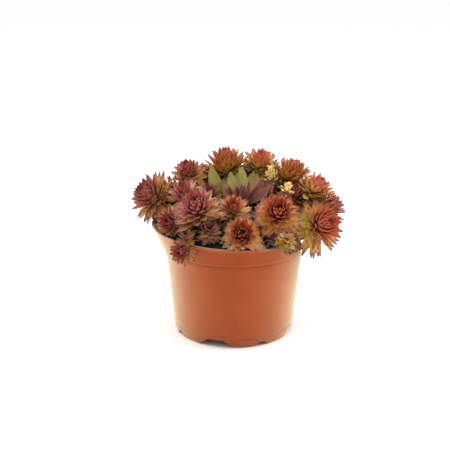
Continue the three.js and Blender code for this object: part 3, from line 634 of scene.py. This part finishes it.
# Each rosette: its skin, its heart's place from the pot's axis in millimetres, the way it faces, its reach
# in millimetres, its number of leaves, the side that the light has bleached, and its own habit.
ROSETTES = {
    "rosette_mother": ("olive", (4, 9, 123), (-0.05, -0.2, 1), 32, 30, (0.75, -0.65, -0.1), BLADES),
    "rosette_far_left": ("plum", (-74, 5, 117), (-0.6, -0.5, 0.65), 22.5, 78, (1, 0, 0.1),
        dict(fuller=1.3, lopsided=0.2)),
    "rosette_upper_left": ("plum", (-40, 22, 134), (-0.2, -0.35, 0.9), 18, 66, (0.8, -0.3, -0.5),
        dict(BROAD, half_width=0.15, length=0.84, lowest=-45)),
    "rosette_top_left": ("ember", (-7, 36, 139), (-0.1, -0.05, 1), 19.5, 64, (0.2, -0.8, 0),
        dict(BROAD, lowest=-14, length=1.12, half_width=0.2, fuller=1.15)),
    "rosette_top_right": ("gold", (23, 36, 138), (0.1, -0.3, 0.95), 16, 58, (0.3, -0.8, 0.3),
        dict(BROAD, lowest=-14, length=1.14, half_width=0.2, fuller=1.15)),
    "rosette_right_top": ("ember", (51, 28, 131), (0.35, 0, 0.93), 19, 62, (-0.3, -0.5, 0),
        dict(BROAD, lowest=-20, length=1.16, half_width=0.2, fuller=1.2)),
    "rosette_right": ("gold", (71, 12, 121), (0.6, -0.15, 0.8), 16, 56, (-0.6, -0.6, 0),
        dict(BROAD, length=1.24, half_width=0.21, fuller=1.2)),
    "rosette_far_right": ("plum", (84, 8, 105), (0.85, -0.1, 0.5), 15.5, 52, (0, -0.3, 1),
        dict(length=1.3, overlap=0.010, half_width=0.25, fuller=1.0)),
    "rosette_front_far_right": ("gold", (76, -17, 97), (0.5, -0.72, 0.42), 24, 78, (-0.9, 0, -0.4),
        dict(overlap=0.010, half_width=0.14, fuller=1.9, lopsided=0.2)),
    "rosette_front_right": ("amber", (35, -37, 114), (0.05, -0.75, 0.65), 21, 74, (0.7, 0, -0.2),
        dict(length=0.76, inner_length=0.7, hang=0.7, overlap=0.006)),
    "rosette_front_middle": ("tan", (6, -53, 100), (0, -0.9, 0.43), 18, 70, (0, 0, -1),
        dict(length=0.64, inner_length=0.78, lowest=-44, hang=1.5, overlap=0.007)),
    "rosette_front_left": ("rose", (-31, -35, 119), (-0.15, -0.7, 0.68), 23, 84, (1, 0, 0),
        dict(length=0.64, inner_length=0.78, lowest=-66, hang=2.2, overlap=0.007, lopsided=0.24)),
    "rosette_left_low": ("plum", (-53, -33, 103), (-0.4, -0.75, 0.5), 16, 62, (0.3, 0, 1),
        dict(length=0.95, overlap=0.006, lopsided=0.3)),
    "rosette_over_rim": ("plum", (-42, -62, 87), (-0.3, -0.9, 0.15), 12.5, 56, (0.8, 0, 0.7),
        dict(lowest=-40, inner_length=0.75, length=0.74)),
    "rosette_middle": ("amber", (-1, -25, 114), (0, -0.6, 0.8), 17, 46, (0, 0, 1), dict(overlap=0.008)),
    "rosette_left_inner": ("plum", (-42, -6, 122), (-0.2, -0.4, 0.9), 17, 46, (0, 0, 1),
        dict(length=1.05, overlap=0.010)),
    "rosette_front_pale": ("pale", (41, -50, 97), (0.1, -0.3, 0.9), 10, 34, (0, 0, -1),
        dict(lowest=-50, highest=60, inner_curl=20, half_width=0.24, youngest=0.6, fuller=0.9, length=0.85,
             hang=0.0, overlap=0.008)),
    "rosette_front_shaded": ("dusk", (-20, -44, 104), (0.05, -0.25, 0.95), 13, 46, (0.5, 0, -1),
        dict(lowest=-64, highest=62, inner_curl=20, half_width=0.19, length=0.72, fuller=1.2, youngest=0.75,
             hang=0.4, overlap=0.006)),
    "rosette_back_upper_left": ("ember", (-26, 48, 124), (-0.25, 0.5, 0.85), 19, 58, (0, 1, 0), {}),
    "rosette_back_upper_right": ("plum", (38, 52, 121), (0.2, 0.55, 0.8), 20, 58, (-1, 0, 0), {}),
    "rosette_back_left": ("ember", (-62, 33, 114), (-0.6, 0.4, 0.7), 21, 62, (0, 1, 0), {}),
    "rosette_back_middle": ("plum", (4, 62, 113), (-0.05, 0.75, 0.65), 20, 60, (0.6, 0, -0.6), {}),
    "rosette_back_low_left": ("plum", (-38, 66, 98), (-0.4, 0.8, 0.4), 17, 52, (-0.6, 0, 0.6), {}),
    "rosette_back_low_right": ("amber", (30, 71, 96), (0.25, 0.85, 0.4), 16, 52, (0, 0, -1), {}),
    "rosette_back_right": ("ember", (63, 44, 110), (0.6, 0.5, 0.6), 21, 62, (-0.6, 0, 0.3), {}),
    "rosette_right_inner": ("plum", (52, 6, 117), (0.1, -0.4, 0.9), 15, 42, (0, 0, 1),
        dict(length=1.2, overlap=0.010)),
    "rosette_left_behind": ("plum", (-20, 13, 119), (-0.1, -0.3, 0.9), 14, 42, (0, 0, 1),
        dict(length=0.85, overlap=0.006)),
    "rosette_top_behind": ("plum", (10, 37, 121), (0, -0.3, 0.9), 15, 42, (0, 0, 1),
        dict(length=1.2, overlap=0.010)),
}
DRY_SHOOTS = {
    "dry_shoot_back": ("straw", (31, 14, 132), (-0.1, -0.35, 0.95), 9.5, 18, (0, 0, 1), DRY),
    "dry_shoot_front": ("straw", (44, -9, 126), (0.15, -0.6, 0.8), 7.5, 14, (0, 0, 1), DRY),
}
STEM_RADIUS, STEM_DEPTH, STEM_BOW, OVER_RIM_BOW = 0.0016, 0.008, 0.4, 1.35
STEM_INWARD, STEM_APART, STEM_FARTHEST, STEM_PUSHES = 0.62, 0.007, 0.045, 60
CROWN_SKIRT, GOLDEN_ANGLE = -0.08, math.radians(137.508)
plants = {}
for name, (skin, heart, face, reach, leaves, side, habit) in {**ROSETTES, **DRY_SHOOTS}.items():
    axis = np.array(face) / np.linalg.norm(face)
    base = np.array(heart) * 0.001 - 0.5 * reach * 0.001 * axis
    plants[name] = dict(
        skin=skin, axis=axis, base=base, reach=reach * 0.001, leaves=leaves, habit={**LANCE_HABIT, **habit},
        side=np.array(side) / np.linalg.norm(side), foot=np.array((base[0], base[1], 0)) * STEM_INWARD)

# The open rosette in the middle, blade by blade: where its tip is from the crown, half its width, all in
# millimetres, its twist and curl in degrees, and how far the light has turned it from green to mauve.
MOTHER_BLADES = [
    ((-22.8, -3, 32), 5.8, -72, 70, 0), ((-7.7, 6, 23.5), 5.6, -30, 20, 0),
    ((1.5, 10, 30.5), 6.0, 0, 18, 0), ((15.3, 5, 24), 5.4, 44, 50, 0), ((-14.5, -1, 20), 4.0, -50, 40, 0.9),
    ((-2.2, -4, 20.5), 3.8, 0, 16, 1.1), ((7.8, -5, 19), 3.9, -35, 16, 1.5),
    ((20.5, -2, 22), 3.7, 60, 50, 1.5), ((-9, -8, 15), 3.8, 35, 20, 1.8),
    ((3.6, -9, 16), 3.8, -20, 20, 1.8), ((14.5, -8, 15.5), 3.8, -40, 20, 1.7),
    ((27, -5, 17), 3.4, 55, 50, 1.7), ((13, 18, 22), 5.6, 0, 18, 0.1), ((-12, 17, 22), 5.6, 0, 18, 0),
    ((1, 22, 14), 5.6, 0, 18, 0.2), ((22, 10, 12), 5.2, 0, 18, 0.4), ((-22, 10, 12), 5.2, 0, 18, 0.3),
    ((2, 3, 13), 2.6, 0, 18, 1.8), ((-2, 0, 12), 2.4, 0, 18, 1.8), ((2, -2, 11), 2.4, 0, 18, 1.8),
    ((34, 2, 32), 2.0, 60, 60, 1.6),
]


def turn_to(way):
    """How what stands upright turns to point the given way, as a matrix."""
    return np.array(Vector((0, 0, 1)).rotation_difference(Vector(way)).to_matrix())


# The stems stand under their plants, pushed apart and kept off the pot's wall.
for _ in range(STEM_PUSHES):
    for plant in plants.values():
        foot = plant["foot"]
        foot *= min(1.0, STEM_FARTHEST / np.linalg.norm(foot))
        for other in plants.values():
            apart = other["foot"] - foot
            distance = np.linalg.norm(apart)
            if other is not plant and distance < STEM_APART:
                push = apart * (STEM_APART - distance) / 2 / distance
                foot -= push
                other["foot"] += push
for name, plant in plants.items():
    x, y, _ = plant["foot"]
    ground = float(soil_surface(x, y))
    collar = np.array((x, y, ground + 0.001))
    bow = np.linalg.norm(plant["base"] - collar) * STEM_BOW
    lean = plant["base"] - plant["axis"] * bow
    if name == "rosette_over_rim":
        lean = plant["base"] + np.array((0, 0, OVER_RIM_BOW * bow))
    above = collar + np.array((0, 0, bow))
    t = np.linspace(0, 1, 13)[:, None]
    plant["climb"] = ((1 - t) ** 3 * collar + 3 * t * (1 - t) ** 2 * above + 3 * t ** 2 * (1 - t) * lean
                      + t ** 3 * plant["base"])
    plant["bottom"] = np.array((x, y, ground - STEM_DEPTH))
    plant["turn"] = turn_to(plant["axis"])

# Room for a leaf: short of the planes shared out between neighbours, and clear of stems, rim and peat.
STEM_ROOM, RIM_ROOM, SOIL_ROOM, NEIGHBOURHOOD = 0.0003, 0.0006, 0.0006, 0.075


def neighbours_of(plant):
    """The planes and the stems that bound a plant's room, and how far its leaves may cross the planes."""
    middles, normals, starts, ends = [], [], [], []
    above = plant["base"] + 0.25 * plant["reach"] * plant["axis"]
    for other in plants.values():
        if other is plant or np.linalg.norm(other["base"] - plant["base"]) > NEIGHBOURHOOD:
            continue
        beside = other["base"] + 0.25 * other["reach"] * other["axis"]
        middles.append(above + (beside - above) * plant["reach"] / (plant["reach"] + other["reach"]))
        normals.append((beside - above) / np.linalg.norm(beside - above))
        starts.extend(other["climb"][:-1])
        ends.extend(other["climb"][1:])
    bounds = np.array(middles), np.array(normals), np.array(starts), np.array(ends)
    return *bounds, plant["habit"]["overlap"]


def has_room(points, near):
    middles, normals, starts, ends, overlap = near
    if (np.einsum("pmk,mk->pm", points[:, None, :] - middles[None], normals) > overlap).any():
        return False
    along = ends - starts
    share = np.einsum("psk,sk->ps", points[:, None, :] - starts[None], along) / (along ** 2).sum(1)
    nearest = starts[None] + np.clip(share, 0, 1)[:, :, None] * along[None]
    if (np.linalg.norm(points[:, None, :] - nearest, axis=2) < STEM_RADIUS + STEM_ROOM).any():
        return False
    unpulled = (points[:, 0] + PULL_LEFT) / (1 + PULL_WIDEN)
    ring = np.hypot(unpulled, points[:, 1] / (1 - PULL_NARROW))
    over_wall = (ring < RIM_RADIUS + RIM_ROOM) & (ring > RIM_RADIUS - LIP - RIM_ROOM)
    low = np.where(over_wall, POT_HEIGHT - PULL_TILT * points[:, 0] + RIM_ROOM,
                   soil_surface(points[:, 0], points[:, 1]) + SOIL_ROOM)
    return not ((ring < RIM_RADIUS + RIM_ROOM) & (points[:, 2] < low)).any()


def leaf_frame(plant, layer, azimuth, lift, shape):
    """The bent line of one leaf: a function that places points given across, along and through the leaf."""
    reach, turn = plant["reach"], plant["turn"]
    out = np.array((math.cos(azimuth), math.sin(azimuth), 0))
    side = np.array((-out[1], out[0], 0))
    up = np.array((0, 0, 1))
    radius = shape["girth"] * math.cos(0.45 * math.pi * layer) ** 0.6
    height = CROWN_SKIRT + shape["rise"] * layer - shape["dropped"]
    root = (out * radius + up * height) * reach
    lowest = min(shape["lowest"] + lift, shape["highest"] - 4)
    steepness = 1 - (1 - layer) ** shape["steepening"]
    start = math.radians(lowest + (shape["highest"] - lowest) * steepness + shape["nod"])
    curl = math.radians(shape["curl"] + (shape["inner_curl"] - shape["curl"]) * layer ** 1.4)
    shortened = (1 - shape["inner_length"]) * layer ** shape["shortening"]
    length = reach * shape["length"] * (1 - shortened) * shape["grown"]
    downward = max(0.0, -out[0] * turn[2, 0] - out[1] * turn[2, 1])
    length *= 1 + shape["hang"] * downward * (1 - layer)
    length *= 1 + shape["lopsided"] * (turn @ out @ plant["side"]) * (1 - layer)
    half_width = reach * shape["half_width"] * (1 - (1 - shape["inner_width"]) * layer) * shape["slim"]
    rolled = math.radians(shape["roll"])

    def placed(points):
        across, along, through = points.T
        turned = start + curl * along
        bend = curl if abs(curl) > 1e-3 else 1e-3
        outward = (np.sin(start + bend * along) - math.sin(start)) / bend
        upward = (math.cos(start) - np.cos(start + bend * along)) / bend
        spine = (outward[:, None] * out + upward[:, None] * up) * length
        spine += (side * math.radians(shape["swerve"]) * length) * (along ** 2)[:, None]
        inward = -np.sin(turned)[:, None] * out + np.cos(turned)[:, None] * up
        beside = side * math.cos(rolled) + inward * math.sin(rolled)
        over = inward * math.cos(rolled) - side * math.sin(rolled)
        local = root + spine + beside * (across * half_width)[:, None]
        local += over * (through * half_width)[:, None]
        return local @ turn.T + plant["base"]

    return placed


# The points of a leaf that have to find room, and how far a low leaf may rise for it, in degrees.
PROBES = np.array([(0, 0.35, -0.5), (0, 0.6, -0.4), (0, 0.8, -0.3), (0, 1, 0), (-0.9, 0.4, 0), (0.9, 0.4, 0),
                   (-1, 0.6, 0), (1, 0.6, 0), (-0.7, 0.8, 0), (0.7, 0.8, 0)], float)
LIFTS = range(0, 91, 10)


def lifts_around(plant, near):
    """How far the low leaves rise to find room, by the direction in which they grow."""
    shape = dict(plant["habit"], grown=0.85)
    lifts = []
    for azimuth in np.linspace(0, 2 * math.pi, 24, endpoint=False):
        roomy = [lift for lift in LIFTS
                 if has_room(leaf_frame(plant, 0.1, azimuth, lift, shape)(PROBES), near)]
        lifts.append(roomy[0] if roomy else LIFTS[-1])
    return np.array(lifts + lifts[:1], float)


def grown_leaf(plant, shape, layer, azimuth, lift, near, rng, bleached=None):
    """A list with one leaf, made smaller until it has room, or with none where there is no room."""
    size, tone = rng.uniform(0.94, 1.04), rng.random()
    mould = shape["mould"]
    for grown, slim in ((1.0, 1.0), (0.92, 1.0), (0.82, 0.95), (0.7, 0.9), (0.58, 0.85), (0.45, 0.8)):
        shape.update(grown=grown * size, slim=slim)
        placed = leaf_frame(plant, layer, azimuth, lift, shape)
        if has_room(placed(PROBES), near):
            leaf = copied(mould, placed(points_of(mould)))
            toward = placed(PROBES[3:4])[0] - plant["base"]
            sun = 1.5 * float(toward @ plant["side"]) / np.linalg.norm(toward)
            sun = min(1.0, max(0.0, sun)) * (1 - min(1.0, max(0.0, (layer - 0.4) / 0.25)))
            if bleached is not None:
                sun = bleached
            note_on_points(leaf, "leaf_kind", np.tile((layer, tone, sun), (len(leaf.data.vertices), 1)))
            return [leaf]
    return []


def leaves_of(plant, near, seed):
    """The leaves of one rosette, from the lowest to the heart, in a spiral by the golden angle."""
    rng = random.Random(seed)
    habit, lifts = plant["habit"], lifts_around(plant, near)
    count = round(plant["leaves"] * habit["fuller"])
    leaves = []
    for k in range(count):
        layer = k / (count - 1) * habit["youngest"]
        azimuth = k * GOLDEN_ANGLE + rng.gauss(0, 0.05)
        sector = (azimuth / (2 * math.pi)) % 1 * 24
        lift = float(np.interp(sector, range(25), lifts)) * (1 - layer)
        loose = 1 - 0.7 * layer
        shape = dict(habit, nod=rng.gauss(0, 4) * loose, roll=rng.gauss(0, 8) * loose,
                     swerve=rng.gauss(0, 5) * loose)
        leaves += grown_leaf(plant, shape, layer, azimuth, lift, near, rng)
    return leaves


def blades_of(plant, near, seed):
    """The blades of the open rosette, each one bent so that its tip comes where the list has it."""
    rng = random.Random(seed)
    leaves = []
    for tip, half_width, twist, curl, mauve in MOTHER_BLADES:
        reached = np.array(tip) * 0.001 @ plant["turn"]
        azimuth = math.atan2(reached[1], reached[0])
        radius = plant["habit"]["girth"] * plant["reach"]
        out, up = math.hypot(reached[0], reached[1]) - radius, reached[2] - CROWN_SKIRT * plant["reach"]
        steep = math.degrees(math.atan2(up, out)) - curl / 2
        chord = math.sin(math.radians(curl / 2)) / math.radians(curl / 2)
        shape = dict(plant["habit"], lowest=steep, curl=curl, roll=twist + rng.gauss(0, 5),
                     length=math.hypot(out, up) / chord / plant["reach"],
                     half_width=half_width * 0.001 / plant["reach"])
        leaves += grown_leaf(plant, shape, 0.0, azimuth, 0, near, rng, mauve)
    return leaves


def withered_of(plant, near, seed, count):
    """Last year's leaves, brown and limp, all the way down the stem."""
    rng = random.Random(seed)
    climb = plant["climb"]
    leaves = []
    for k in range(count):
        share = 1 - 0.75 * (k / count) ** 1.4
        at = share * (len(climb) - 1)
        low = min(int(at), len(climb) - 2)
        way = climb[low + 1] - climb[low]
        part_way = dict(plant, base=climb[low] + way * (at - low), turn=turn_to(way / np.linalg.norm(way)),
                        reach=plant["reach"] * (0.7 + 0.3 * share))
        shape = dict(WITHERED_HABIT, nod=rng.uniform(0, 42), roll=rng.gauss(0, 20), swerve=rng.gauss(0, 14),
                     curl=rng.uniform(-30, 40))
        leaves += grown_leaf(part_way, shape, 0.0, k * GOLDEN_ANGLE, 0, near, rng)
    return leaves


def stem_of(plant):
    """A stem's bent tube, from the bottom of its hole in the peat up into the crown."""
    return bent_line("stem", [plant["bottom"], *plant["climb"][::2]], STEM_RADIUS)


def assembled(name, groups):
    """A plant's pieces, each group of one material, made one and set over the pot's middle."""
    pieces = []
    for group, material in groups:
        for piece in group:
            piece.data.materials.append(material)
        pieces += group
    whole = joined(name, pieces)
    move_points(whole, points_of(whole) + POT_AXIS)
    return whole


stem_bark = grainy_material("stem_bark", 0.75, 0.0016, (92, 58, 42), (146, 104, 72), grain_relief=0.0003)
withered, tree, shader = new_material("withered_leaf", Roughness=0.72)
patches, fine = patchy_grain(tree, 0.0028)
_, tone, _ = read_points(tree, "leaf_kind")
colour = mixed(tone, paint(122, 66, 40), paint(150, 104, 66))
feed(shader, "Base Color", mixed(eased(patches, 0.4, 0.7, 0.0, 0.6), colour, paint(84, 44, 32)))
with_relief(shader, fine, 0.00025)
# The shaded rosettes at the back and the top keep more of their withered leaves.
WITHERED, WITHERED_SHADED, LEAF_SEED, SKIRT_SEED = 34, 60, 100, 300
for number, name in enumerate(ROSETTES):
    plant = plants[name]
    near = neighbours_of(plant)
    grow = blades_of if name == "rosette_mother" else leaves_of
    leaves = grow(plant, near, LEAF_SEED + number)
    shaded = any(word in name for word in ("back", "behind", "top"))
    skirt = withered_of(plant, near, SKIRT_SEED + number, WITHERED_SHADED if shaded else WITHERED)
    rosette = assembled(name + "_leaves", [
        (leaves, skins[plant["skin"]]), (skirt, withered), ([stem_of(plant)], stem_bark)])
    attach(rosette, "root")
    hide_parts(name)


# Two small shoots beside the mother rosette have dried out: their leaves are thin, curled and
# straw-coloured, over older brown ones.
straw = grainy_material("dried_leaf", 0.7, 0.0022, (243, 220, 148), (230, 198, 124), (0.35, 0.65),
                        grain_relief=0.0002, marks=((0.6, 0.75, 0.0, 0.4), (128, 86, 50)))
DRY_LEAF_SEED, DRY_SKIRT_SEED, DRY_SKIRT_REACH = 200, 400, 1.9
for number, name in enumerate(DRY_SHOOTS):
    plant = plants[name]
    near = neighbours_of(plant)
    leaves = leaves_of(plant, near, DRY_LEAF_SEED + number)
    longer = dict(plant, reach=DRY_SKIRT_REACH * plant["reach"])
    skirt = withered_of(longer, near, DRY_SKIRT_SEED + number, WITHERED_SHADED)
    shoot = assembled(name + "_leaves", [(leaves, straw), (skirt, withered), ([stem_of(plant)], straw)])
    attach(shoot, "root")
    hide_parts(name)
bpy.data.objects.remove(lance_leaf)
bpy.data.objects.remove(spoon_leaf)


# The studio: a plain pale floor, a white surround that is dimmer behind the camera, and soft lights overhead
# and at both sides.
bpy.ops.mesh.primitive_plane_add(size=24)
floor = bpy.context.active_object
floor.name = "floor"
pale, _, _ = new_material("pale_floor", Roughness=0.6, Base_Color=(0.93, 0.93, 0.93, 1))
floor.data.materials.append(pale)

scene = bpy.context.scene
scene.view_settings.view_transform = "Standard"
world = bpy.data.worlds.new("white_studio")
world.use_nodes = True
scene.world = world
tree = world.node_tree
tree.nodes.clear()
way = put_node(tree, "TexCoord").outputs["Generated"]
_, back, up = put_node(tree, "SeparateXYZ", Vector=way).outputs
bright = eased(reckoned("ADD", times(back, 0.8), times(up, 0.5)), -0.6, 0.5, 0.42, 1.2)
surround = put_node(tree, "Background", Color=(1, 1, 1, 1), Strength=bright)
seen = put_node(tree, "Background", Color=(1, 1, 1, 1), Strength=1.0)
looked_at = put_node(tree, "LightPath").outputs["Is Camera Ray"]
both = put_node(tree, "MixShader", in0=looked_at, in1=surround.outputs[0], in2=seen.outputs[0])
put_node(tree, "OutputWorld", Surface=both.outputs[0])

LIT_SPOT = Vector((0, 0, 0.08))
for name, place, size, power in (
    ("overhead", (0.0, -0.05, 1.2), (0.8, 0.8), 5.6),
    ("left_side", (-0.75, 0.16, 0.4), (0.7, 1.0), 5.6),
    ("right_side", (0.74, 0.18, 0.4), (0.7, 1.0), 7.0),
):
    light = bpy.data.lights.new(name, "AREA")
    light.shape, light.size, light.size_y, light.energy = "RECTANGLE", *size, power
    lamp = bpy.data.objects.new(name, light)
    bpy.context.collection.objects.link(lamp)
    lamp.location = place
    lamp.rotation_euler = (LIT_SPOT - Vector(place)).to_track_quat("-Z", "Y").to_euler()

camera = bpy.data.objects.new("camera", bpy.data.cameras.new("camera"))
bpy.context.collection.objects.link(camera)
camera.data.lens, camera.data.sensor_width = 76.53, 36
aim = Vector((-0.00892, -0.0053, 0.0895))
tilt = math.radians(17.5)
camera.location = aim + 0.8 * Vector((0, -math.cos(tilt), math.sin(tilt)))
camera.rotation_euler = (aim - camera.location).to_track_quat("-Z", "Y").to_euler()
scene.camera = camera
